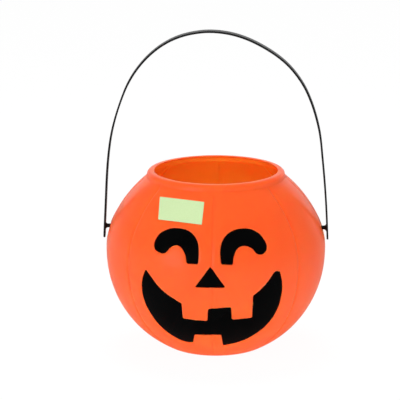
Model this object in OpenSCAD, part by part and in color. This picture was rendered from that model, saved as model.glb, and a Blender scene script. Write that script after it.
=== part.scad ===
// Pumpkin candy pail with a swinging strap handle. Sizes in millimetres, +Z up,
// face towards -Y, origin in the middle of the foot on the table.

/* [Body] */
// Radius of the widest ring
body_r = 100; // [90:0.1:112]
// Height of the widest ring above the table
equator_z = 91; // [86:0.5:95]
// Radius of the side curve below the widest ring
low_arc_r = 98.8; // [97:0.1:106]
// Radius of the side curve just above the widest ring
high_arc_r = 70; // [64:0.5:76]
// Angle above level at which the side curve flattens into the shoulder
shoulder_angle = 28; // [24:0.5:32]
// Radius of the flatter shoulder curve
shoulder_arc_r = 110; // [100:1:125]
// Radius that turns the side into the foot
foot_arc_r = 25; // [20:0.5:30]
// Thickness of the blown wall
wall = 1.5; // [1.3:0.05:1.8]

/* [Creases] */
// Number of creases, with one at the front and one behind each peg
crease_count = 8; // [4:4:16]
// Width of a crease across its two flanks
crease_w = 5; // [3:0.1:7]
// Depth of a crease
crease_depth = 0.7; // [0.4:0.05:0.9]

/* [Collar] */
// Radius of the trimmed mouth
lip_r = 56.1; // [50:0.1:60]
// Flat width of the lip between the mouth and the bead's crown
lip_land = 2.6; // [2:0.1:3.4]
// Radius of the rolled bead round the mouth
bead_r = 3.8; // [3.2:0.1:4.4]
// Height of the bead's middle above the end of the shoulder
bead_rise = 1.3; // [1:0.1:1.8]

/* [Base] */
// Radius of the pushed-up middle of the foot
dish_r = 23; // [16:0.5:26]
// Height of the pushed-up middle
dish_h = 2.4; // [1.5:0.1:3.5]

/* [Face] */
// Sideways place of the face from the front crease
face_x = -1.5; // [-3:0.1:3]
// Depth of the sunk face areas below the shell
face_depth = 0.8; // [0.6:0.05:1]
// Thickness of the paint in the sunk areas
paint_t = 0.3; // [0.15:0.05:0.4]
// Width of one eye
eye_w = 39.3; // [34:0.1:42]
// Height of one eye
eye_h = 28.6; // [25:0.1:31]
// Distance of the eye's inner edge from the middle of the face
eye_x = 9.9; // [8:0.1:13]
// Height of the eye's lowest point
eye_z = 102.1; // [100:0.1:105]
// Width of the nose
nose_w = 25; // [20:0.1:27]
// Height of the nose
nose_h = 18; // [15:0.1:19]
// Height of the nose's base
nose_z = 81.3; // [79:0.1:82]
// Corner softness of the nose
nose_soft = 1.6; // [1:0.1:2.5]
// Half width of the grin
grin_w = 62.2; // [58:0.1:63]
// Height of the grin
grin_h = 73.6; // [68:0.1:76]
// Height of the grin's lowest point
grin_z = 18; // [18:0.1:22]

/* [Teeth] */
// Width of the left upper tooth
left_tooth_w = 23.6; // [18:0.1:26]
// Sideways place of the left upper tooth
left_tooth_x = -13.9; // [-17:0.1:-13]
// Width of the right upper tooth
right_tooth_w = 20.2; // [16:0.1:23]
// Sideways place of the right upper tooth
right_tooth_x = 28.1; // [26:0.1:30]
// Height of the upper teeth's tips above the grin's lowest point
upper_tooth_z = 30.1; // [27:0.1:33]
// Width of the lower tooth
lower_tooth_w = 25.4; // [20:0.1:28]
// Sideways place of the lower tooth
lower_tooth_x = -3.2; // [-5:0.1:2]
// Height of the lower tooth above the grin's lowest point
lower_tooth_h = 14; // [11:0.1:17]

/* [Label] */
// Width of the blank paper label, seen from the front
label_w = 39.4; // [30:0.1:40]
// Height of the label, seen from the front
label_h = 16.5; // [12:0.1:18]
// Thickness of the label
label_t = 0.2; // [0.1:0.05:0.3]
// Sideways place of the label's middle from the front crease
label_x = -28.5; // [-30:0.1:-24]
// Drop of the label's middle below the end of the shoulder
label_drop = 16.4; // [14:0.1:18]
// Turn of the label, clockwise seen from the front
label_turn = 2.2; // [0:0.1:4]

/* [Pegs] */
// Height of the handle's pegs above the widest ring
peg_rise = 20.3; // [17:0.1:23]
// Radius of the peg's shank
peg_r = 1.8; // [1.5:0.05:2.2]
// Running clearance round the shank
peg_clear = 0.08; // [0.05:0.01:0.1]
// Radius of the snap head inside the shell
head_r = 2.8; // [2.5:0.05:3.4]
// Length of the snap head
head_len = 3.4; // [2.6:0.1:4.4]
// Gap between the snap head and the wall
head_gap = 0.4; // [0.3:0.05:0.8]
// Radius of the fillet between shank and strap
flare_r = 1.4; // [0.8:0.1:1.8]
// Radius of the flat pocket round each peg hole
pocket_r = 8.5; // [7:0.1:9.5]
// Depth of the pocket
pocket_depth = 1; // [0.6:0.05:1.2]
// Drop of the pocket's middle below the peg
pocket_drop = 3.3; // [2:0.1:4]

/* [Handle] */
// Width of the strap, front to back
strap_w = 9.5; // [8:0.1:12]
// Thickness of the strap
strap_t = 1.4; // [1.2:0.05:1.7]
// Distance of the strap's middle from the widest ring, at the peg
side_gap = 2; // [1.7:0.05:3]
// Radius of the bend between the bow and the legs
bow_mid_r = 190; // [150:1:220]
// Radius of the long curve of each leg
bow_leg_r = 950; // [800:10:1000]
// Angle of the bow above level where the bend starts
bow_top_angle = 22; // [18:0.5:26]
// Angle above level where the bend ends
bow_mid_angle = 7; // [6:0.5:9]
// Outward lean of the leg's straight end
bow_leg_angle = 2.4; // [1.8:0.1:3]
// Straight stretch of the leg above the peg
leg_straight = 1.1; // [0.5:0.1:6]
// Length of the tail below the peg
tail_len = 10; // [8:0.1:13]

/* [Hidden] */

// Fineness of turned curves and of the face's drawn curves
$fn = 96;
curve_steps = 8;
// Angles of one step along the body's side curve, the bow, its bends, its legs and its tails
side_step = 5.5;
bow_step = 4;
bend_step = 1.5;
leg_step = 0.6;
tail_step = 36;
// Overrun that every cut shares
cut = 1;

// Middles of the side curve's arcs, as [radius, height]. A low curve too small to reach the
// table from the widest ring starts lower, under a straight band.
low_c = [body_r - low_arc_r, min(equator_z, low_arc_r - dish_h)];
high_c = [body_r - high_arc_r, equator_z];
shoulder_c = high_c + (high_arc_r - shoulder_arc_r) * turn(shoulder_angle);
foot_out = sqrt(pow(low_arc_r - foot_arc_r, 2) - pow(low_c.y - foot_arc_r, 2));
foot_c = [low_c.x + foot_out, foot_arc_r];
foot_angle = atan2(foot_c.y - low_c.y, foot_c.x - low_c.x);

// Collar, which sits where the shoulder reaches the bead
bead_x = lip_r + lip_land;
neck_r = bead_x + sqrt(pow(bead_r, 2) - pow(bead_rise, 2)) - wall / 4;
neck_z = shoulder_c.y + sqrt(pow(shoulder_arc_r, 2) - pow(neck_r - shoulder_c.x, 2));
bead_z = neck_z + bead_rise;
lip_z = bead_z + bead_r;

// Where the face's blocks start, in front of the middle
face_back = body_r / 2;

// Sphere under the pushed-up foot
dish_ball_r = (pow(dish_r, 2) + pow(dish_h, 2)) / (2 * dish_h);

// Angle from one crease to the next
crease_step = 360 / crease_count;

// Peg hole and its pocket, on the crease at either side
peg_z = equator_z + peg_rise;
pocket_z = peg_z - pocket_drop;
pocket_angle = asin((pocket_z - equator_z) / high_arc_r);
pocket_x = high_c.x + high_arc_r * cos(pocket_angle);
pocket_reach = pocket_drop + pocket_depth * sin(pocket_angle);
hole_x = pocket_x - pocket_depth * cos(pocket_angle) - pocket_reach * tan(pocket_angle);
hole_in_x = hole_x - wall / cos(pocket_angle);
head_x = hole_in_x - head_r * tan(pocket_angle) - head_gap;

// Strap's centre line on one side, from the peg up to the bow, as [x, height over the peg]
leg_x = body_r + side_gap;
leg_p = [leg_x, 0] + leg_straight * [-sin(bow_leg_angle), cos(bow_leg_angle)];
leg_c = leg_p - bow_leg_r * turn(bow_leg_angle);
mid_p = leg_c + bow_leg_r * turn(bow_mid_angle);
mid_c = mid_p - bow_mid_r * turn(bow_mid_angle);
top_p = mid_c + bow_mid_r * turn(bow_top_angle);
bow_r = top_p.x / cos(bow_top_angle);
bow_c = [0, top_p.y - bow_r * sin(bow_top_angle)];
tail_down = leg_straight + tail_len - strap_t / 2;
tail_p = leg_p + tail_down * [sin(bow_leg_angle), -cos(bow_leg_angle)];

// Half of the grin as shares of its half width and height: each row is one curve
grin_shares = [
    [[0, 0], [0.571, 0], [1, 0.340], [1, 0.788]],
    [[1, 0.788], [1, 0.856], [0.995, 0.917], [0.974, 0.965]],
    [[0.974, 0.965], [0.962, 1.004], [0.935, 1.010], [0.910, 0.981]],
    [[0.910, 0.981], [0.691, 0.707], [0.386, 0.554], [0, 0.554]],
];
// Eye as shares of its width and height, from its inner foot over the arch and back
eye_shares = [
    [[0.018, 0.049], [-0.061, 0.626], [0.079, 1.010], [0.486, 1]],
    [[0.486, 1], [0.791, 0.990], [0.985, 0.713], [1, 0.381]],
    [[1, 0.381], [1.005, 0.248], [0.842, 0.220], [0.807, 0.255]],
    [[0.807, 0.255], [0.756, 0.437], [0.628, 0.531], [0.486, 0.531]],
    [[0.486, 0.531], [0.318, 0.528], [0.262, 0.297], [0.254, 0]],
];

// Unit vector at an angle above the first axis
function turn(a) = [cos(a), sin(a)];

// Points along one drawn curve, without its last
function curve(p) = [
    for (i = [0:curve_steps - 1])
        let (t = i / curve_steps, s = 1 - t)
            s * s * s * p[0] + 3 * s * s * t * p[1] + 3 * s * t * t * p[2] + t * t * t * p[3]
];

// Points of rows of curves, stretched to a size
function outline(rows, size) = [
    for (row = rows) for (p = curve(row)) [p.x * size.x, p.y * size.y]
];

// Points that soften corner b between its neighbours a and c
function soft_corner(a, b, c, r) =
    let (p = b + r * (a - b) / norm(a - b), q = b + r * (c - b) / norm(c - b))
        curve([p, (p + 2 * b) / 3, (q + 2 * b) / 3, q]);

// Angle on the shoulder curve, grown by t, at which the body ends
function neck_angle(t) = asin((neck_z - shoulder_c.y) / (shoulder_arc_r + t));

// Points along an arc about c, both ends included
function arc(c, r, a0, a1, step) =
    let (n = ceil((a1 - a0) / step))
        [for (i = [0:n]) c + r * turn(a0 + (a1 - a0) * i / n)];

// The same points without the last, where another arc goes on
function arc_start(c, r, a0, a1, step) =
    let (p = arc(c, r, a0, a1, step))
        [for (i = [0:len(p) - 2]) p[i]];

// Other half of an outline whose first and last points lie on the middle line
function other_half(points) = [
    for (i = [len(points) - 2:-1:1]) [-points[i].x, points[i].y]
];

// Half section of the closed body, grown outwards by t and narrowed to a share of its radius
module body_section(t, width_share = 1) {
    side = concat(arc_start(foot_c, foot_arc_r + t, -90, foot_angle, side_step),
                  arc_start(low_c, low_arc_r + t, foot_angle, 0, side_step),
                  arc_start(high_c, high_arc_r + t, 0, shoulder_angle, side_step),
                  arc(shoulder_c, shoulder_arc_r + t, shoulder_angle, neck_angle(t), side_step));
    shape = concat([[0, -t]], side, [[0, neck_z]]);
    polygon([for (p = shape) [p.x * width_share, p.y]]);
}

module body(t) {
    rotate_extrude()
        body_section(t);
}

// Solid behind one flank of a crease: the side curve, set a little lower so that the crease
// is deepest on the shoulder, drawn out along the flank's slope
module crease_flank(slope) {
    translate([0, 0, -crease_depth / 8])
        rotate([90, 0, slope])
            linear_extrude(2 * body_r, center = true)
                body_section(-crease_depth, cos(slope));
}

// V groove along the side curve towards +X, from the foot to the collar
module crease() {
    slope = atan(2 * crease_depth / crease_w);
    difference() {
        translate([neck_r / 2, -crease_w, crease_depth])
            cube([body_r, 2 * crease_w, neck_z]);
        crease_flank(slope);
        crease_flank(-slope);
    }
}

module creases() {
    for (k = [0:crease_count - 1])
        rotate([0, 0, k * crease_step])
            crease();
}

// Rolled collar, and the hollow that follows it at the wall's thickness
module collar_solid() {
    rotate_extrude() {
        translate([bead_x, bead_z])
            circle(bead_r);
        translate([0, neck_z - lip_land])
            square([bead_x, lip_z - neck_z + lip_land]);
    }
}

module collar_hollow() {
    rotate_extrude() {
        translate([bead_x, bead_z])
            circle(bead_r - wall);
        translate([0, neck_z - 2 * lip_land])
            square([bead_x, lip_z - wall - neck_z + 2 * lip_land]);
        translate([0, neck_z - lip_land])
            square([lip_r, lip_z - neck_z + lip_land + cut]);
    }
}

// Round block along a pocket's slope, from a depth below the crease outwards
module pocket_block(r, depth) {
    for (side = [0, 1])
        mirror([side, 0, 0])
            translate([pocket_x, 0, pocket_z])
                rotate([0, 90 - pocket_angle, 0])
                    translate([0, 0, -depth])
                        cylinder(r = r, h = depth + 2 * wall);
}

// Round hole for each peg, across the wall only
module peg_holes() {
    for (side = [-1, 1])
        translate([side * hole_x, 0, peg_z])
            rotate([0, 90, 0])
                cylinder(r = peg_r + peg_clear, h = 2 * pocket_r, center = true);
}

// Pushed-up middle of the foot
module foot_dish(t) {
    translate([0, 0, dish_h - dish_ball_r])
        sphere(dish_ball_r + t);
}

// Flat outlines of the face, drawn upright
module eye_outline(side) {
    points = outline(eye_shares, [eye_w, eye_h]);
    last = [eye_shares[4][3].x * eye_w, eye_shares[4][3].y * eye_h];
    translate([face_x, eye_z])
        mirror([side < 0 ? 1 : 0, 0])
            translate([eye_x, 0])
                polygon(concat(points, [last]));
}

module nose_outline() {
    a = [-nose_w / 2, 0];
    b = [nose_w / 2, 0];
    c = [0, nose_h];
    translate([face_x, nose_z])
        polygon(concat(soft_corner(c, a, b, nose_soft), soft_corner(a, b, c, nose_soft),
                       soft_corner(b, c, a, nose_soft)));
}

module tooth(x, w, z0, z1) {
    translate([x - w / 2, z0])
        square([w, z1 - z0]);
}

module grin_outline() {
    middle = [0, grin_shares[3][3].y * grin_h];
    half = concat(outline(grin_shares, [grin_w, grin_h]), [middle]);
    translate([face_x, grin_z])
        difference() {
            polygon(concat(half, other_half(half)));
            tooth(left_tooth_x, left_tooth_w, upper_tooth_z, grin_h);
            tooth(right_tooth_x, right_tooth_w, upper_tooth_z, grin_h);
            tooth(lower_tooth_x, lower_tooth_w, -cut, lower_tooth_h);
        }
}

// Upright block of an outline that reaches through the front of the body
module face_block() {
    translate([0, -face_back, 0])
        rotate([90, 0, 0])
            linear_extrude(body_r + cut - face_back)
                children();
}

// Coat of paint on the floor of a sunk outline
module paint() {
    difference() {
        intersection() {
            face_block()
                children();
            body(paint_t - face_depth);
        }
        body(-face_depth);
    }
}

module pail_shell() {
    color("orangered")
        difference() {
            union() {
                difference() {
                    body(0);
                    creases();
                }
                collar_solid();
            }
            difference() {
                body(-wall);
                pocket_block(pocket_r + wall, pocket_depth + wall);
                foot_dish(wall);
            }
            collar_hollow();
            foot_dish(0);
            pocket_block(pocket_r, pocket_depth);
            peg_holes();
            difference() {
                face_block() {
                    eye_outline(-1);
                    eye_outline(1);
                    nose_outline();
                    grin_outline();
                }
                body(-face_depth);
            }
        }
}

module left_eye_paint() {
    color("black")
        paint()
            eye_outline(-1);
}

module right_eye_paint() {
    color("black")
        paint()
            eye_outline(1);
}

module nose_paint() {
    color("black")
        paint()
            nose_outline();
}

module mouth_paint() {
    color("black")
        paint()
            grin_outline();
}

// Label on the shoulder, between the front crease and the next on its left
module blank_label() {
    color("palegreen")
        intersection() {
            difference() {
                body(label_t);
                body(0);
            }
            translate([label_x, -body_r / 2, neck_z - label_drop])
                rotate([0, label_turn, 0])
                    cube([label_w, body_r, label_h], center = true);
        }
}

// Points from the tail up to the bow's middle, at a distance out from the strap's centre line
function strap_side(out) = concat(
    [tail_p + out * turn(bow_leg_angle)],
    arc_start(leg_c, bow_leg_r + out, bow_leg_angle, bow_mid_angle, leg_step),
    arc_start(mid_c, bow_mid_r + out, bow_mid_angle, bow_top_angle, bend_step),
    arc(bow_c, bow_r + out, bow_top_angle, 90, bow_step)
);

// Strap's side view
module strap_outline() {
    inner = strap_side(-strap_t / 2);
    down = [for (i = [len(inner) - 1:-1:0]) inner[i]];
    end = arc(tail_p, strap_t / 2, 180 + bow_leg_angle, 360 + bow_leg_angle, tail_step);
    round_end = [for (i = [1:len(end) - 2]) end[i]];
    half = concat(down, round_end, strap_side(strap_t / 2));
    polygon(concat(half, other_half(half)));
}

// Peg with a fillet at the strap, a plain shank and a snap head, along +Z from the strap
module peg() {
    reach = leg_x - head_x;
    fillet_z = strap_t / 2 + flare_r;
    rotate_extrude() {
        square([peg_r, reach + head_len / 2]);
        difference() {
            square([peg_r + flare_r, fillet_z]);
            translate([peg_r + flare_r, fillet_z])
                circle(flare_r);
        }
        polygon([[0, reach], [head_r, reach], [head_r, reach + head_len / 5],
                 [peg_r * 2 / 3, reach + head_len], [0, reach + head_len]]);
    }
}

module strap_handle() {
    color("black")
        translate([0, 0, peg_z]) {
            difference() {
                rotate([90, 0, 0])
                    linear_extrude(strap_w, center = true)
                        strap_outline();
                tail_corners();
            }
            for (side = [0, 1])
                mirror([side, 0, 0])
                    translate([leg_x, 0, 0])
                        rotate([0, -90, 0])
                            peg();
        }
}

// What rounding takes off the corners of both tails
module tail_corners() {
    round_z = strap_w / 2 - tail_len;
    span = 2 * (leg_x + strap_w);
    difference() {
        translate([-span / 2, -strap_w / 2 - cut, round_z - strap_w / 2 - cut])
            cube([span, strap_w + 2 * cut, strap_w / 2 + cut]);
        translate([0, 0, round_z])
            rotate([0, 90, 0])
                cylinder(r = strap_w / 2, h = span + 2 * cut, center = true);
    }
}

pail_shell();
left_eye_paint();
right_eye_paint();
nose_paint();
mouth_paint();
blank_label();
strap_handle();
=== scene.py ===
import math

import bmesh
import bpy
from mathutils import Matrix, Vector


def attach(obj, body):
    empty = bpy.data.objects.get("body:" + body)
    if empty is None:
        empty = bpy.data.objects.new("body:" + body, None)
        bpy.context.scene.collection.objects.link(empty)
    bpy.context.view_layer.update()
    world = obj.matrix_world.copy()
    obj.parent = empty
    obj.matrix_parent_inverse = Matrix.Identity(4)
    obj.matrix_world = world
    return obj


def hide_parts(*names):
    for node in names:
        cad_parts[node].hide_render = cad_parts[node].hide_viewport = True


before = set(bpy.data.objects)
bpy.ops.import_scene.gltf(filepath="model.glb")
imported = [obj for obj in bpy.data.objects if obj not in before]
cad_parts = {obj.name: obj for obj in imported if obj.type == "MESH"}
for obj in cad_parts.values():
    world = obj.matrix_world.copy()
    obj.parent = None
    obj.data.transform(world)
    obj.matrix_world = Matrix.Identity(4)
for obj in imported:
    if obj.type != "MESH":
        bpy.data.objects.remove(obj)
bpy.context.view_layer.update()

# Pumpkin candy pail in metres, +Z up, face towards -Y
print("frame loaded:", ", ".join(sorted(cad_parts)))


# Values for all the pieces. Each piece's own are in its dictionary, which its functions call s

startSize = 0.01  # of a primitive before it is shaped
sameSpot = 0.00001  # points closer than this are one
sameAngle = 0.001  # and angles, in degrees
smoothAngle = 35  # degrees between two faces, past which their edge stays sharp
easedAngle = 1  # radians between two faces, past which their edge is eased
easeSteps = 3
mmPerMetre = 1000


# Selecting, applying and drawing

def leaveEdit():
    if bpy.context.object and bpy.context.object.mode != "OBJECT":
        bpy.ops.object.mode_set(mode="OBJECT")


def pickNothing():
    leaveEdit()
    bpy.ops.object.select_all(action="DESELECT")


def pickOnly(*objs):
    pickNothing()
    for obj in objs:
        obj.select_set(True)
    bpy.context.view_layer.objects.active = objs[-1]


def editOnly(obj):
    pickOnly(obj)
    bpy.ops.object.mode_set(mode="EDIT")


def choose(kind, test):  # selects the vertices, edges or faces that pass a test, in edit mode
    bpy.ops.mesh.select_mode(type=kind)
    bpy.ops.mesh.select_all(action="DESELECT")
    data = bpy.context.object.data
    mesh = bmesh.from_edit_mesh(data)
    for row in {"VERT": mesh.verts, "EDGE": mesh.edges, "FACE": mesh.faces}[kind]:
        if test(row):
            row.select_set(True)
    bmesh.update_edit_mesh(data, loop_triangles=False, destructive=False)


def mergeDoubles():
    bpy.ops.mesh.select_all(action="SELECT")
    bpy.ops.mesh.remove_doubles(threshold=sameSpot)


def turnOutwards():
    bpy.ops.mesh.select_all(action="SELECT")
    bpy.ops.mesh.normals_make_consistent(inside=False)
    leaveEdit()


def addModifier(obj, kind, **settings):
    modifier = obj.modifiers.new(kind.title(), kind)
    for name, value in settings.items():
        setattr(modifier, name, value)
    pickOnly(obj)
    bpy.ops.object.modifier_apply(modifier=modifier.name)


def smooth(obj):
    pickOnly(obj)
    bpy.ops.object.shade_smooth_by_angle(angle=math.radians(smoothAngle))


def report(stage, obj):
    print(stage, len(obj.data.vertices), "vertices", [round(v, 4) for v in obj.dimensions])


def startPoint(name, place):  # one vertex, selected in edit mode
    pickNothing()
    bpy.ops.mesh.primitive_plane_add(size=startSize)
    obj = bpy.context.object
    obj.name = obj.data.name = name
    bpy.ops.object.mode_set(mode="EDIT")
    bpy.ops.mesh.select_mode(type="VERT")
    bpy.ops.mesh.select_all(action="SELECT")
    bpy.ops.mesh.merge(type="CENTER")
    bpy.ops.transform.translate(value=place)
    return obj


def drawLine(name, points):  # one vertex extruded from point to point, left selected in edit mode
    obj = startPoint(name, points[0])
    at = Vector(points[0])
    for point in points[1:]:
        step = Vector(point) - at
        bpy.ops.mesh.extrude_vertices_move(TRANSFORM_OT_translate={"value": step})
        at = Vector(point)
    bpy.ops.mesh.select_all(action="SELECT")
    return obj


def turned(degrees):  # one unit long, in a flat plane
    a = math.radians(degrees)
    return Vector((math.cos(a), math.sin(a)))


def arcPoints(centre, radius, start, end, count):  # without the first point
    angles = [start + (end - start) * i / count for i in range(1, count + 1)]
    return [Vector(centre) + radius * turned(angle) for angle in angles]


def ramp(value, start, end):  # 0 before start, 1 after end
    return min(max((value - start) / (end - start), 0), 1)


# Shell: a profile drawn at the front, spun to the back and mirrored

shellShape = {
    "widestRadius": 0.1, "widestHeight": 0.091, "lowArc": 0.0988, "highArc": 0.07, "shoulderArc": 0.11,
    "footArc": 0.025, "shoulderAngle": 28, "dishRadius": 0.023, "dishHeight": 0.0024, "wall": 0.0015,
    "lipRadius": 0.0561, "lipLand": 0.0026, "lipDepth": 0.003, "lipEase": 0.0004, "lipReach": 1.001,
    "beadRadius": 0.0038, "beadRise": 0.0013, "beadInset": 0.25,  # a share of the wall
    "neckGap": 0.7, "beadGap": 10,  # degrees left open where the shoulder turns into the bead
    "steps": {"dish": 9, "flat": 4, "foot": 6, "low": 44, "high": 15, "shoulder": 19, "bead": 16},
    "creaseAngles": (0, 50, 90, 135, 180),  # from the front, the same on both sides
    "creaseDepth": 0.00075, "creaseHalf": 0.0026, "creasePower": 1.25, "lobeDepth": 0.0005,
    "creaseEnds": (0.003, 0.014, 0.155, 0.159),  # heights between which the depth grows, and fades again
    "flatRound": (0.0085, 0.022, 0.35),  # near a pocket, far from it, and the share of the depth near it
    "offsets": (0.3, 0.7, 1.1, 1.6, 2.3, 3.3, 4.8, 7, 9.5), "farStep": 3.2,  # degrees from a crease
}

pocketShape = {
    "radius": 0.0085, "depth": 0.001, "drop": 0.0033, "corner": 0.0004, "cornerCut": 0.3, "segments": 56,
    "pegHeight": 0.1113, "holeRadius": 0.00188, "holeReach": 1.1, "ringShare": 0.6, "liftShare": 0.4,
    "reach": 0.012, "ringReach": 0.999, "rimMerge": 0.0002, "floorMerge": 0.0001,
}


# The middle of a peg's pocket on the smooth shell, the way it faces, and the way up along the shell
def pocketPlace(side):
    s, pocket = shellShape, pocketShape
    height = pocket["pegHeight"] - pocket["drop"]
    angle = math.asin((height - s["widestHeight"]) / s["highArc"])
    middle = Vector((side * (s["widestRadius"] - s["highArc"] * (1 - math.cos(angle))), 0, height))
    facing = Vector((side * math.cos(angle), 0, math.sin(angle)))
    return middle, facing, Vector((-side * math.sin(angle), 0, math.cos(angle)))


def pocketFloor(side):  # its middle, and how far up along it the peg's hole lies
    middle, facing, up = pocketPlace(side)
    floor = middle - pocketShape["depth"] * facing
    return floor, (pocketShape["pegHeight"] - floor.z) / up.z


def shellProfile(s):  # from the middle of the foot to the inner edge of the lip
    steps = s["steps"]
    low = Vector((s["widestRadius"] - s["lowArc"], s["widestHeight"]))
    high = Vector((s["widestRadius"] - s["highArc"], s["widestHeight"]))
    shoulder = high + (s["highArc"] - s["shoulderArc"]) * turned(s["shoulderAngle"])
    footOut = math.sqrt((s["lowArc"] - s["footArc"]) ** 2 - (s["widestHeight"] - s["footArc"]) ** 2)
    foot = Vector((low.x + footOut, s["footArc"]))
    footAngle = math.degrees(math.atan2(foot.y - low.y, foot.x - low.x))
    beadX = s["lipRadius"] + s["lipLand"]
    neckX = beadX + math.sqrt(s["beadRadius"] ** 2 - s["beadRise"] ** 2) - s["wall"] * s["beadInset"]
    neckZ = shoulder.y + math.sqrt(s["shoulderArc"] ** 2 - (neckX - shoulder.x) ** 2)
    neckAngle = math.degrees(math.asin((neckZ - shoulder.y) / s["shoulderArc"]))
    bead = Vector((beadX, neckZ + s["beadRise"]))
    beadAngle = -math.degrees(math.asin(s["beadRise"] / s["beadRadius"]))
    ballRadius = (s["dishRadius"] ** 2 + s["dishHeight"] ** 2) / (2 * s["dishHeight"])
    ballAngle = math.degrees(math.asin(s["dishRadius"] / ballRadius))
    ball = Vector((0, s["dishHeight"] - ballRadius))
    flat = (foot.x - s["dishRadius"]) / steps["flat"]
    points = [Vector((0, s["dishHeight"]))]
    points += arcPoints(ball, ballRadius, 90, 90 - ballAngle, steps["dish"])
    points += [Vector((s["dishRadius"] + flat * i, 0)) for i in range(1, steps["flat"] + 1)]
    points += arcPoints(foot, s["footArc"], -90, footAngle, steps["foot"])
    points += arcPoints(low, s["lowArc"], footAngle, 0, steps["low"])
    points += arcPoints(high, s["highArc"], 0, s["shoulderAngle"], steps["high"])
    points += arcPoints(shoulder, s["shoulderArc"], s["shoulderAngle"], neckAngle - s["neckGap"],
                        steps["shoulder"])
    points += arcPoints(bead, s["beadRadius"], beadAngle + s["beadGap"], 90, steps["bead"])
    top = points[-1].y
    return points + [Vector((s["lipRadius"] + s["lipLand"] / 2, top)), Vector((s["lipRadius"], top))]


def creaseShare(co, s):  # how deep a point lies, as a share of the crease and lobe depths together
    angle = math.degrees(math.atan2(abs(co.x), -co.y))  # 0 at the front
    after = next(a for a in s["creaseAngles"][1:] if angle <= a + sameAngle)
    before = s["creaseAngles"][s["creaseAngles"].index(after) - 1]
    offset = max(min(angle - before, after - angle), 0)
    away = math.radians(offset) * math.hypot(co.x, co.y)
    foot0, foot1, neck0, neck1 = s["creaseEnds"]
    near, far, least = s["flatRound"]
    around = ramp((Vector((abs(co.x), co.y, co.z)) - pocketPlace(1)[0]).length, near, far)
    fade = ramp(co.z, foot0, foot1) * ramp(co.z, neck1, neck0)
    fade *= least + (1 - least) * around * around * (3 - 2 * around)  # with a soft start and end
    groove = max(1 - away / s["creaseHalf"], 0) ** s["creasePower"]
    lobe = 0.5 + 0.5 * math.cos(math.tau * offset / (after - before))
    return fade * (groove * s["creaseDepth"] + lobe * s["lobeDepth"]) / (s["creaseDepth"] + s["lobeDepth"])


# The angles of the spun profiles from one crease to the next, close together at the creases
def turnsFrom(before, after, s):
    half = (after - before) / 2
    last = s["offsets"][-1]
    more = round((half - last) / s["farStep"])
    offsets = [*s["offsets"]] + [last + (half - last) * i / more for i in range(1, more + 1)]
    return [before + o for o in offsets] + [after - o for o in offsets[-2::-1]] + [after]


def makeShellSheet(s):
    sheet = drawLine("pumpkinShell", [(0, -p.x, p.y) for p in shellProfile(s)])
    at = 0
    for before, after in zip(s["creaseAngles"], s["creaseAngles"][1:]):
        for turn in turnsFrom(before, after, s):
            bpy.ops.mesh.spin(steps=1, angle=math.radians(turn - at), center=(0, 0, 0), axis=(0, 0, 1))
            at = turn
    mergeDoubles()
    leaveEdit()
    addModifier(sheet, "MIRROR", use_axis=(True, False, False), merge_threshold=2 * sameSpot)
    editOnly(sheet)
    mergeDoubles()
    turnOutwards()
    group = sheet.vertex_groups.new(name="creases")
    for vertex in sheet.data.vertices:
        share = creaseShare(vertex.co, s)
        if share > 0:
            group.add([vertex.index], share, "REPLACE")
    addModifier(sheet, "DISPLACE", strength=-(s["creaseDepth"] + s["lobeDepth"]), mid_level=0,
                direction="NORMAL", vertex_group="creases")
    return sheet


shell = makeShellSheet(shellShape)
report("shell sheet:", shell)


# Face: each area is cut into the sheet, sunk in two steps and given its coat of paint

faceShape = {
    "edges": (1.0, 0.62, 0.3),  # millimetres from the drawn outline out to the rim's three lines
    "sinks": (0.00018, 0.00062),  # inside the second line, and then inside the third
    "paint": 0.0003, "corner": 0.0013, "cornerSteps": 4, "curveSteps": 8,
    "wallFrom": -0.13, "wallTo": -0.045,  # the cutting walls' ends by Y
    # Outlines as seen from the front, in millimetres: [x, z, 1 at a corner]
    "mouth": [[-59.6, 91.3, 1], [-55.1, 86.0, 0], [-49.0, 78.5, 0], [-40.4, 71.4, 0], [-34.4, 67.8, 0],
              [-27.7, 64.0, 1], [-26.7, 48.4, 1], [-4.1, 46.9, 1], [-3.3, 59.6, 1], [16.3, 61.5, 1],
              [17.0, 48.3, 1], [35.6, 49.0, 1], [36.5, 71.5, 1], [40.7, 74.7, 0], [48.2, 81.9, 0],
              [55.2, 91.6, 1], [59.2, 91.6, 1], [61.3, 79.5, 0], [60.4, 66.5, 0], [56.6, 53.3, 0],
              [49.3, 41.0, 0], [37.8, 30.2, 0], [24.3, 22.7, 0], [9.3, 18.5, 1], [7.9, 32.2, 1],
              [-16.8, 31.6, 1], [-18.4, 21.4, 1], [-24.8, 21.6, 0], [-35.9, 26.7, 0], [-47.0, 36.2, 0],
              [-56.0, 49.1, 0], [-61.2, 61.2, 0], [-63.2, 74.1, 0], [-62.2, 83.6, 0]],
    "leftEye": [[-51.2, 112.0, 0], [-48.9, 121.6, 0], [-41.0, 127.9, 0], [-30.5, 130.2, 0],
                [-20.6, 128.4, 0], [-14.2, 122.3, 0], [-12.3, 114.5, 0], [-12.7, 102.2, 1],
                [-22.2, 102.2, 1], [-24.9, 112.3, 0], [-30.2, 117.0, 0], [-36.4, 115.4, 0],
                [-43.0, 109.2, 0], [-47.4, 109.4, 0]],
    "rightEye": [[7.6, 115.3, 0], [10.5, 123.7, 0], [16.6, 128.8, 0], [27.0, 130.7, 0], [36.8, 128.3, 0],
                 [44.4, 121.5, 0], [47.4, 113.2, 0], [45.2, 109.6, 0], [40.6, 109.4, 0], [34.7, 115.0, 0],
                 [27.7, 117.4, 0], [22.2, 115.6, 0], [19.2, 110.3, 0], [17.8, 101.7, 1], [8.2, 102.3, 1]],
    "nose": [[-1.6, 99.4, 1], [-14.6, 81.2, 1], [-1.7, 81.1, 0], [11.2, 81.2, 1]],
}


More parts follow.
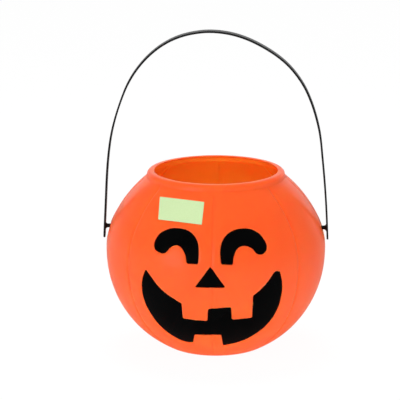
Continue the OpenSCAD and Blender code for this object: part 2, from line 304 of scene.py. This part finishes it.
def grown(rows, by, least=0.5):  # a drawn outline with each point moved outwards, by / least at most
    ahead, behind = rows[1:] + rows[:1], rows[-1:] + rows[:-1]
    side = 1 if sum(a[0] * b[1] - b[0] * a[1] for a, b in zip(rows, ahead)) > 0 else -1
    moved = []
    for (x, z, isCorner), (x0, z0, _), (x1, z1, _) in zip(rows, behind, ahead):
        into, out = Vector((x - x0, z - z0)).normalized(), Vector((x1 - x, z1 - z)).normalized()
        across = (into + out).normalized()
        reach = side * by / max(across.dot(into), least)
        moved.append((x + across.y * reach, z - across.x * reach, isCorner))
    return moved


def drawOutline(name, rows, s):  # closed loop of one face area, upright and in front of the pail
    pickNothing()
    bpy.ops.curve.primitive_bezier_circle_add(radius=startSize)
    outline = bpy.context.object
    outline.name = name
    outline.data.resolution_u = s["curveSteps"]
    points = outline.data.splines[0].bezier_points
    points.add(len(rows) - len(points))
    for point, (x, z, isCorner) in zip(points, rows):
        point.handle_left_type = point.handle_right_type = "VECTOR" if isCorner else "AUTO"
        point.co = (x / mmPerMetre, z / mmPerMetre, 0)
    bpy.ops.object.convert(target="MESH")
    outline = bpy.context.object
    corners = [Vector((x / mmPerMetre, z / mmPerMetre, 0)) for x, z, isCorner in rows if isCorner]
    bpy.ops.object.mode_set(mode="EDIT")
    choose("VERT", lambda v: min((v.co - corner).length for corner in corners) < 2 * sameSpot)
    bpy.ops.mesh.bevel(offset=s["corner"], segments=s["cornerSteps"], affect="VERTICES")
    leaveEdit()
    outline.rotation_euler = (math.pi / 2, 0, 0)
    outline.location = (0, s["wallFrom"], 0)
    bpy.ops.object.transform_apply()
    return outline


def loopOf(outline):  # its points in order, as (x, z)
    links = {}
    for edge in outline.data.edges:
        a, b = edge.vertices
        links.setdefault(a, []).append(b)
        links.setdefault(b, []).append(a)
    order = [0]
    while len(order) < len(links):
        order.append(next(n for n in links[order[-1]] if n not in order[-2:] and n not in order[:1]))
    return [(outline.data.vertices[i].co.x, outline.data.vertices[i].co.z) for i in order]


def isInside(x, z, loop):
    inside = False
    for (x0, z0), (x1, z1) in zip(loop, loop[1:] + loop[:1]):
        if (z0 > z) != (z1 > z) and x < x0 + (x1 - x0) * (z - z0) / (z1 - z0):
            inside = not inside
    return inside


def cutThrough(sheet, cutter):  # adds the line where the cutter's walls meet the sheet, and no walls
    marker = bpy.data.materials.new("cutterWalls")
    cutter.data.materials.append(marker)
    if not sheet.data.materials:
        sheet.data.materials.append(bpy.data.materials.new("sheetFaces"))
    pickOnly(cutter, sheet)
    bpy.ops.object.join()
    wallSlot = len(sheet.data.materials) - 1
    bpy.ops.object.mode_set(mode="EDIT")
    choose("FACE", lambda f: f.material_index == wallSlot)
    bpy.ops.mesh.intersect(mode="SELECT_UNSELECT", separate_mode="NONE", threshold=0.0, solver="EXACT")
    choose("FACE", lambda f: f.material_index == wallSlot)
    bpy.ops.mesh.delete(type="FACE")
    leaveEdit()
    sheet.active_material_index = wallSlot
    bpy.ops.object.material_slot_remove()
    bpy.data.materials.remove(marker)


def facesWithin(loop):  # indexes of the front faces inside a loop, each judged by its largest triangle
    mesh = bmesh.from_edit_mesh(bpy.context.object.data)
    mesh.faces.index_update()
    largest = {}
    for corners in mesh.calc_loop_triangles():
        a, b, c = (corner.vert.co for corner in corners)
        size = (b - a).cross(c - a).length
        index = corners[0].face.index
        if size > largest.get(index, (0, None))[0]:
            largest[index] = (size, (a + b + c) / 3)
    return {index for index, (_, at) in largest.items() if at.y < 0 and isInside(at.x, at.z, loop)}


def sinkFace(sheet, key, name, s):  # sinks one area and returns its coat of paint
    drawn = [grown(s[key], edge) for edge in s["edges"]]
    outlines = [drawOutline(f"{name}Outline{i}", rows, s) for i, rows in enumerate(drawn)]
    loops = [loopOf(outline) for outline in outlines]
    pickOnly(*outlines)
    bpy.ops.object.join()
    walls = bpy.context.object
    bpy.ops.object.mode_set(mode="EDIT")
    bpy.ops.mesh.select_all(action="SELECT")
    bpy.ops.mesh.extrude_region_move(TRANSFORM_OT_translate={"value": (0, s["wallTo"] - s["wallFrom"], 0)})
    leaveEdit()
    cutThrough(sheet, walls)
    editOnly(sheet)
    for area, sink in zip([facesWithin(loop) for loop in loops[1:]], s["sinks"]):
        choose("FACE", lambda f: f.index in area)
        bpy.ops.transform.shrink_fatten(value=-sink)
    bpy.ops.mesh.duplicate()
    bpy.ops.mesh.separate(type="SELECTED")
    leaveEdit()
    coat = next(o for o in bpy.context.selected_objects if o != sheet)
    coat.name = coat.data.name = name
    coat.vertex_groups.clear()
    addModifier(coat, "SOLIDIFY", thickness=s["paint"], offset=1, use_rim=True)
    report(name + ":", coat)
    return coat


leftEyeCoat = sinkFace(shell, "leftEye", "leftEyeCoat", faceShape)
rightEyeCoat = sinkFace(shell, "rightEye", "rightEyeCoat", faceShape)
noseCoat = sinkFace(shell, "nose", "noseCoat", faceShape)
mouthCoat = sinkFace(shell, "mouth", "mouthCoat", faceShape)
report("face sunk:", shell)


# Peg pockets: a flat disc sunk in the crease at either side, with the peg's hole

def sinkPocket(sheet, side, s):
    middle, facing, up = pocketPlace(side)
    floor, rise = pocketFloor(side)
    pickNothing()
    bpy.ops.mesh.primitive_cylinder_add(vertices=s["segments"], radius=s["radius"], depth=s["reach"],
                                        end_fill_type="NOTHING", location=middle,
                                        rotation=facing.to_track_quat("Z", "Y").to_euler())
    walls = bpy.context.object
    bpy.ops.object.transform_apply()
    cutThrough(sheet, walls)
    editOnly(sheet)

    def isNear(point):
        return (point - middle).length < s["reach"]

    def isInRing(point):
        return isNear(point) and (point - middle).cross(facing).length < s["radius"] * s["ringReach"]

    choose("FACE", lambda f: isInRing(f.calc_center_median()))
    bpy.ops.mesh.delete(type="FACE")
    choose("EDGE", lambda e: e.is_boundary and all(isNear(v.co) for v in e.verts))
    bpy.ops.mesh.remove_doubles(threshold=s["rimMerge"])
    plane = Matrix((up.cross(facing), up, facing)).transposed()

    def ringTo(radius, height, wasRadius, shift=0.0, tall=1.0):  # extrudes the chosen ring to a flat one
        share = radius / wasRadius
        bpy.ops.mesh.extrude_edges_move()
        bpy.ops.transform.resize(value=(share, share * tall, 0), orient_type="GLOBAL", orient_matrix=plane,
                                 orient_matrix_type="GLOBAL", center_override=floor)
        bpy.ops.transform.translate(value=height * facing + shift * up)

    outer, corner, hole = s["radius"], s["corner"], s["holeRadius"]
    cut = corner * s["cornerCut"]
    between, lifted = outer * s["ringShare"], rise * s["liftShare"]
    tall = 1 / up.z  # the hole is level and the floor slants, so the hole's ring there is taller than wide
    ringTo(outer, corner, outer)
    ringTo(outer - cut, cut, outer)
    ringTo(outer - corner, 0, outer - cut)
    ringTo(between, 0, outer - corner, lifted)
    ringTo(hole, 0, between, rise - lifted * tall * hole / between, tall)
    bpy.ops.mesh.remove_doubles(threshold=s["floorMerge"])
    leaveEdit()


for side in (-1, 1):
    sinkPocket(shell, side, pocketShape)
report("pockets sunk:", shell)


def thicken(sheet, s, pocket):  # gives the wall its thickness, levels the holes and eases the lip
    editOnly(sheet)
    turnOutwards()
    sheet.vertex_groups.clear()
    addModifier(sheet, "SOLIDIFY", thickness=s["wall"], offset=-1, use_rim=True)
    lipTop = max(v.co.z for v in sheet.data.vertices)
    editOnly(sheet)
    for side in (-1, 1):
        facing, up = pocketPlace(side)[1:]
        floor, rise = pocketFloor(side)
        inner = floor + rise * up - s["wall"] * facing
        choose("VERT", lambda v: (v.co - inner).length < pocket["holeRadius"] * pocket["holeReach"])
        bpy.ops.transform.translate(value=s["wall"] * facing.z / up.z * up)

    def isAtLip(point):
        out = math.hypot(point.x, point.y)
        return out < s["lipRadius"] * s["lipReach"] and point.z > lipTop - s["lipDepth"]

    choose("EDGE", lambda e: e.calc_face_angle(0) > easedAngle and all(isAtLip(v.co) for v in e.verts))
    bpy.ops.mesh.bevel(offset=s["lipEase"], segments=easeSteps, affect="EDGES")
    leaveEdit()


thicken(shell, shellShape, pocketShape)
report("shell wall:", shell)
for piece in (shell, leftEyeCoat, rightEyeCoat, noseCoat, mouthCoat):
    smooth(piece)


# Paper label on the shoulder, left of the front crease, laid on from in front and above

labelShape = {
    "corners": ((-0.0189, 0.0126), (0.0205, 0.0076), (0.0184, -0.0125), (-0.0201, -0.0077)),
    "thickness": 0.0002, "place": (-0.0285, -0.069, 0.1429), "above": 14.9, "aside": 1.9,  # degrees
    "startSize": 0.03, "away": 0.05, "cuts": 40,  # the flat sheet, and how far it comes from
}


def makeLabel(sheet, s):
    pickNothing()
    bpy.ops.mesh.primitive_plane_add(size=s["startSize"])
    label = bpy.context.object
    label.name = label.data.name = "paperLabel"
    bpy.ops.object.mode_set(mode="EDIT")
    half = s["startSize"] / 2
    for x, y in s["corners"]:
        choose("VERT", lambda v: v.co.x * x > 0 and v.co.y * y > 0)
        bpy.ops.transform.translate(value=(x - math.copysign(half, x), y - math.copysign(half, y), 0))
    bpy.ops.mesh.select_all(action="SELECT")
    bpy.ops.mesh.subdivide(number_cuts=s["cuts"])
    leaveEdit()
    label.rotation_euler = (math.radians(90 - s["above"]), 0, math.radians(s["aside"]))
    label.location = Vector(s["place"]) + label.rotation_euler.to_matrix() @ Vector((0, 0, s["away"]))
    addModifier(label, "SHRINKWRAP", target=sheet, wrap_method="PROJECT", use_project_z=True,
                use_positive_direction=False, use_negative_direction=True)
    bpy.ops.object.transform_apply()
    addModifier(label, "SOLIDIFY", thickness=s["thickness"], offset=1, use_rim=True)
    smooth(label)
    return label


paperLabel = makeLabel(shell, labelShape)
report("label:", paperLabel)


# Strap handle: a flat ribbon from the top of the bow down the right leg, mirrored, with a peg at each end

strapShape = {
    "width": 0.0095, "thickness": 0.0017, "edge": 0.0004, "columns": 4,
    "legOut": 0.1012, "straight": 0.0011, "tail": 0.0111, "legArc": 0.95, "middleArc": 0.19,
    "legLean": 2.4, "middleLean": 7, "bowLean": 22,  # degrees
    "bowSteps": 34, "middleSteps": 10, "legSteps": 8, "tailSteps": 4, "endSteps": 5, "endTurn": 15,
    "shank": 0.0018, "fillet": 0.0022, "filletSteps": 8, "pegSteps": 40,
    "headAt": 0.0086, "headRadius": 0.0028, "headEdge": 0.0004, "headEdgeSteps": 4,
    "headTaper": ((0.0010, 0.0026), (0.0031, 0.00135), (0.0034, 0.00108), (0.0034, 0)),  # inwards, radius
    # The bow hangs a little to one side: x and z of a place, how far it moves in x and z, and its reach
    "bends": ((0.062, 0.262, -0.0019, -0.0022, 0.085), (-0.040, 0.284, 0, 0.0011, 0.05),
              (0.031, 0.289, 0, -0.0010, 0.036), (0.080, 0.250, 0.0012, 0.0009, 0.045),
              (-0.093, 0.177, -0.0012, 0, 0.055), (0.089, 0.214, 0.0009, 0.0003, 0.04),
              (-0.012, 0.292, 0, -0.0006, 0.03)),
    "grip": 0.006,  # what lies this close to the place moves all the way
}


def makeStrap(s):
    legEnd, middleEnd, bowEnd = turned(s["legLean"]), turned(s["middleLean"]), turned(s["bowLean"])
    down = Vector((legEnd.y, 0, -legEnd.x))
    leg = Vector((s["legOut"], pocketShape["pegHeight"])) - s["straight"] * down.xz
    legMiddle = leg - s["legArc"] * legEnd
    middle = legMiddle + s["legArc"] * middleEnd - s["middleArc"] * middleEnd
    top = middle + s["middleArc"] * bowEnd
    bowRadius = top.x / bowEnd.x
    bow = top - bowRadius * bowEnd
    half, count = s["width"] / 2, s["columns"]
    row = [(0, -half + s["width"] * i / count, bow.y + bowRadius) for i in range(count + 1)]
    strap = drawLine("carryStrap", row)
    for centre, turn, steps in ((bow, 90 - s["bowLean"], s["bowSteps"]),
                                (middle, s["bowLean"] - s["middleLean"], s["middleSteps"]),
                                (legMiddle, s["middleLean"] - s["legLean"], s["legSteps"])):
        bpy.ops.mesh.spin(steps=steps, angle=math.radians(turn), center=(centre.x, 0, centre.y),
                          axis=(0, -1, 0))
    stretch = s["straight"] + s["tail"] - half
    for _ in range(s["tailSteps"]):
        bpy.ops.mesh.extrude_edges_move(TRANSFORM_OT_translate={"value": down * stretch / s["tailSteps"]})
    for i in range(s["endSteps"]):  # rounded end
        was, now = turned(s["endTurn"] * i), turned(s["endTurn"] * (i + 1))
        bpy.ops.mesh.extrude_edges_move(TRANSFORM_OT_translate={"value": down * half * (now.y - was.y)})
        bpy.ops.transform.resize(value=(1, now.x / was.x, 1), center_override=(0, 0, 0))
    mergeDoubles()
    turnOutwards()
    addModifier(strap, "MIRROR", use_axis=(True, False, False), merge_threshold=sameSpot)
    addModifier(strap, "SOLIDIFY", thickness=s["thickness"], offset=0, use_rim=True)
    editOnly(strap)
    choose("EDGE", lambda e: e.calc_face_angle(0) > easedAngle)
    bpy.ops.mesh.bevel(offset=s["edge"], segments=easeSteps, affect="EDGES")
    for x, z, aside, lift, reach in s["bends"]:
        choose("VERT", lambda v: math.hypot(v.co.x - x, v.co.z - z) < s["grip"])
        bpy.ops.transform.translate(value=(aside, 0, lift), use_proportional_edit=True,
                                    proportional_edit_falloff="SMOOTH", proportional_size=reach)
    bpy.context.scene.tool_settings.use_proportional_edit = False
    leaveEdit()
    return strap


def makePegs(s):  # both pegs with their fillets and snap heads, turned about their axis
    axisHeight = pocketShape["pegHeight"]
    shank, fillet, edge = s["shank"], s["fillet"], s["headEdge"]
    inner, headAt = s["legOut"] - s["thickness"] / 2, s["legOut"] - s["headAt"]
    points = [(s["legOut"], 0), (s["legOut"], shank + fillet)]
    points += arcPoints((inner - fillet, shank + fillet), fillet, 0, -90, s["filletSteps"])
    points += [(headAt, shank), (headAt, s["headRadius"] - edge)]
    points += arcPoints((headAt - edge, s["headRadius"] - edge), edge, 0, 90, s["headEdgeSteps"])
    points += [(headAt - inwards, radius) for inwards, radius in s["headTaper"]]
    pegs = drawLine("pegs", [(x, 0, axisHeight + radius) for x, radius in points])
    bpy.ops.mesh.spin(steps=s["pegSteps"], angle=math.tau, center=(0, 0, axisHeight), axis=(1, 0, 0))
    mergeDoubles()
    turnOutwards()
    addModifier(pegs, "MIRROR", use_axis=(True, False, False), use_mirror_merge=False)
    return pegs


carryStrap = makeStrap(strapShape)
pegs = makePegs(strapShape)
addModifier(carryStrap, "BOOLEAN", operation="UNION", solver="EXACT", object=pegs)
bpy.data.objects.remove(pegs)
smooth(carryStrap)
report("strap:", carryStrap)


# Materials: each noise is given by its scale and detail, and runs from the first to the second value

# Satin polyethylene that lets light a little way in
orangePlastic = {
    "shader": {"IOR": 1.5, "Specular IOR Level": 0.36, "Subsurface Weight": 1.0,
               "Subsurface Radius": (1.0, 0.95, 0.7), "Subsurface Scale": 0.008},
    "colours": ((0.97, 0.078, 0.0070), (0.99, 0.086, 0.0090)), "colourNoise": (28, 3),
    "roughness": (0.3, 0.36), "roughnessNoise": (90, 3),
    "bumpNoise": (42, 2), "bumpHeight": 0.0004, "bumpStrength": 0.25,
}

# Smooth black paint with next to no shine
blackPaint = {
    "shader": {"IOR": 1.45, "Specular IOR Level": 0.03},
    "colours": ((0.0005, 0.0006, 0.0007), (0.0010, 0.0011, 0.0012)), "colourNoise": (60, 3),
    "roughness": (0.16, 0.24), "roughnessNoise": (140, 3),
    "bumpNoise": (500, 2), "bumpHeight": 0.00003, "bumpStrength": 0.3,
}

# Label paper, its fibres in the colour as well as in the bump
greenPaper = {
    "shader": {"IOR": 1.45, "Specular IOR Level": 0.3},
    "colours": ((0.40, 0.515, 0.275), (0.425, 0.545, 0.295)), "colourNoise": (900, 6),
    "roughness": (0.5, 0.62), "roughnessNoise": (300, 3),
    "bumpNoise": (900, 6), "bumpHeight": 0.00003, "bumpStrength": 0.25,
}

# Moulded strap plastic
blackStrap = {
    "shader": {"IOR": 1.5, "Specular IOR Level": 0.2},
    "colours": ((0.0030, 0.0032, 0.0036), (0.0060, 0.0062, 0.0067)), "colourNoise": (120, 3),
    "roughness": (0.3, 0.42), "roughnessNoise": (400, 3),
    "bumpNoise": (1500, 2), "bumpHeight": 0.00002, "bumpStrength": 0.3,
}


def startMaterial(name, values):  # a new material, with values set on its shader
    material = bpy.data.materials.new(name)
    material.use_nodes = True
    shader = material.node_tree.nodes["Principled BSDF"]
    for key, value in values.items():
        shader.inputs[key].default_value = value
    return material, material.node_tree, shader


def addNode(tree, kind, inputs=(), **settings):  # a socket in inputs is linked, and a value is set
    node = tree.nodes.new("ShaderNode" + kind)
    for name, value in settings.items():
        setattr(node, name, value)
    for name, value in dict(inputs).items():
        if isinstance(value, bpy.types.NodeSocket):
            tree.links.new(value, node.inputs[name])
        else:
            node.inputs[name].default_value = value
    return node


def objectNoise(tree, scale, detail):
    place = addNode(tree, "TexCoord").outputs["Object"]
    return addNode(tree, "TexNoise", {"Vector": place, "Scale": scale, "Detail": detail}).outputs["Fac"]


def spread(tree, value, low, high, fromLow=0.3, fromHigh=0.7):  # low at fromLow and high at fromHigh
    return addNode(tree, "MapRange", {"Value": value, "From Min": fromLow, "From Max": fromHigh,
                                      "To Min": low, "To Max": high}).outputs[0]


def blended(tree, factor, first, second):
    colours = addNode(tree, "ValToRGB", {"Fac": factor})
    colours.color_ramp.elements[0].color = (*first, 1)
    colours.color_ramp.elements[1].color = (*second, 1)
    return colours.outputs[0]


def makeFinish(name, look):
    material, tree, shader = startMaterial(name, look["shader"])
    share = spread(tree, objectNoise(tree, *look["colourNoise"]), 0, 1)
    roughness = spread(tree, objectNoise(tree, *look["roughnessNoise"]), *look["roughness"])
    bump = addNode(tree, "Bump", {"Height": objectNoise(tree, *look["bumpNoise"]),
                                  "Distance": look["bumpHeight"], "Strength": look["bumpStrength"]})
    tree.links.new(blended(tree, share, *look["colours"]), shader.inputs["Base Color"])
    tree.links.new(roughness, shader.inputs["Roughness"])
    tree.links.new(bump.outputs[0], shader.inputs["Normal"])
    return material


def dress(piece, material, body, slot, *nodes):
    piece.data.materials.clear()
    piece.data.materials.append(material)
    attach(piece, body)
    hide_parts(*nodes)


paint = makeFinish("blackPaint", blackPaint)
dress(shell, makeFinish("orangePlastic", orangePlastic), "pail", "orange_shell", "pail_shell")
dress(leftEyeCoat, paint, "pail", "black_paint", "left_eye_paint")
dress(rightEyeCoat, paint, "pail", "black_paint", "right_eye_paint")
dress(noseCoat, paint, "pail", "black_paint", "nose_paint")
dress(mouthCoat, paint, "pail", "black_paint", "mouth_paint")
dress(paperLabel, makeFinish("greenPaper", greenPaper), "pail", "green_label", "blank_label")
dress(carryStrap, makeFinish("blackStrap", blackStrap), "handle", "black_strap", "strap_handle")
print("materials on")


# Floor, lamps and surroundings

studio = {
    "floorSize": 6, "floorPlace": (0, 1, 0),
    "floor": {"Base Color": (0.6, 0.6, 0.6, 1), "Roughness": 0.9, "Specular IOR Level": 0.1},
    "glow": {"camera": 1.03, "gloss": 0.2, "rest": 2.0},  # the floor's own light, by kind of ray
    "glowShare": {"camera": 0.93, "rest": 0.5},  # against the lit floor, which holds the shadow
    "around": 0.6, "behind": 1.0,  # the surroundings' light on the pail, and as the camera sees them
    "gloss": (0.35, 0.95),  # as gloss sees them, in front of the pail and behind it
    "glossFrom": (0.6, 0.95),  # where along Y the one turns into the other
    "aim": (0, 0, 0.1),
}

lamps = {
    "keyLamp": {"place": (-0.86, -1.84, 0.3), "size": 1.4, "watts": 25, "inGloss": False},
    "cheekLamp": {"place": (-1.25, -1.5, 0.3), "size": 1.0, "watts": 5, "inGloss": True},
    "frontLamp": {"place": (-0.5, -1.6, 1.2), "size": 1.8, "watts": 5, "inGloss": False},
    "topLamp": {"place": (-0.1, 0.4, 1.6), "size": 0.8, "watts": 17, "inGloss": False},
    "sideLamp": {"place": (1.7, -0.7, 0.7), "size": 2.0, "watts": 12, "inGloss": False},
}


def makeFloor(s):
    pickNothing()
    bpy.ops.mesh.primitive_plane_add(size=s["floorSize"], location=s["floorPlace"])
    floor = bpy.context.object
    floor.name = floor.data.name = "studioFloor"
    bpy.ops.object.transform_apply()
    material, tree, shader = startMaterial("studioWhite", s["floor"])
    glow, share = s["glow"], s["glowShare"]
    rays = addNode(tree, "LightPath").outputs
    unseen = addNode(tree, "Math", {0: rays["Is Glossy Ray"], 1: glow["gloss"] - glow["rest"],
                                    2: glow["rest"]}, operation="MULTIPLY_ADD")
    level = addNode(tree, "Mix", {0: rays["Is Camera Ray"], 2: unseen.outputs[0], 3: glow["camera"]})
    light = addNode(tree, "Emission", {"Color": (1, 1, 1, 1), "Strength": level.outputs[0]})
    factor = spread(tree, rays["Is Camera Ray"], share["rest"], share["camera"], 0, 1)
    mix = addNode(tree, "MixShader", {"Fac": factor, 1: shader.outputs[0], 2: light.outputs[0]})
    tree.links.new(mix.outputs[0], tree.nodes["Material Output"].inputs["Surface"])
    floor.data.materials.append(material)


def addLamp(name, aim, s):
    turn = (Vector(aim) - Vector(s["place"])).to_track_quat("-Z", "Y").to_euler()
    bpy.ops.object.light_add(type="AREA", location=s["place"], rotation=turn)
    lamp = bpy.context.object
    lamp.name = lamp.data.name = name
    lamp.data.shape = "DISK"
    lamp.data.size = s["size"]
    lamp.data.energy = s["watts"]
    lamp.visible_glossy = s["inGloss"]


def makeSurroundings(s):  # plain light all round, white behind the pail, and gloss that is darker in front
    world = bpy.data.worlds.new("studio")
    bpy.context.scene.world = world
    world.use_nodes = True
    tree, white = world.node_tree, (1, 1, 1, 1)
    facing = addNode(tree, "SeparateXYZ", {"Vector": addNode(tree, "TexCoord").outputs["Generated"]})
    strength = spread(tree, facing.outputs["Y"], *s["gloss"], *s["glossFrom"])
    seen = addNode(tree, "Background", {"Color": white, "Strength": s["behind"]})
    mirrored = addNode(tree, "Background", {"Color": white, "Strength": strength})
    around = tree.nodes["Background"]
    around.inputs["Color"].default_value = white
    around.inputs["Strength"].default_value = s["around"]
    rays = addNode(tree, "LightPath").outputs
    direct = addNode(tree, "Math", {0: rays["Is Camera Ray"], 1: rays["Is Transmission Ray"]},
                     operation="MAXIMUM")
    unseen = addNode(tree, "MixShader", {"Fac": rays["Is Glossy Ray"], 1: around.outputs[0],
                                         2: mirrored.outputs[0]})
    mix = addNode(tree, "MixShader", {"Fac": direct.outputs[0], 1: unseen.outputs[0], 2: seen.outputs[0]})
    tree.links.new(mix.outputs[0], tree.nodes["World Output"].inputs["Surface"])


makeFloor(studio)
for name, lampShape in lamps.items():
    addLamp(name, studio["aim"], lampShape)
makeSurroundings(studio)
bpy.context.scene.view_settings.view_transform = "Standard"


# Camera where the photograph was taken from

cameraPlace = {
    "distance": 2.5, "elevation": 14.9, "azimuth": 1.9, "look": 0.085,
    "lookPixel": (215.9, 254.3),  # where the photograph shows the point at the height look
    "imageSize": 400, "perPixel": 0.0009129, "sensor": 36, "clipEnd": 20,
}


def makeCamera(s):
    level, turn = turned(s["elevation"]), turned(s["azimuth"])
    back = Vector((turn.y * level.x, -turn.x * level.x, level.y))
    right = Vector((turn.x, turn.y, 0))
    up = back.cross(right)
    look = Vector((0, 0, s["look"]))
    place = look + s["distance"] * back
    middle, (x, y) = s["imageSize"] / 2, s["lookPixel"]
    aim = look + s["perPixel"] * ((middle - x) * right + (y - middle) * up)
    bpy.ops.object.camera_add(location=place, rotation=(aim - place).to_track_quat("-Z", "Y").to_euler())
    camera = bpy.context.object
    camera.name = camera.data.name = "photoCamera"
    camera.data.sensor_width = s["sensor"]
    camera.data.lens = s["sensor"] * s["distance"] / (s["imageSize"] * s["perPixel"])
    camera.data.clip_end = s["clipEnd"]
    bpy.context.scene.camera = camera


makeCamera(cameraPlace)
print("studio ready")
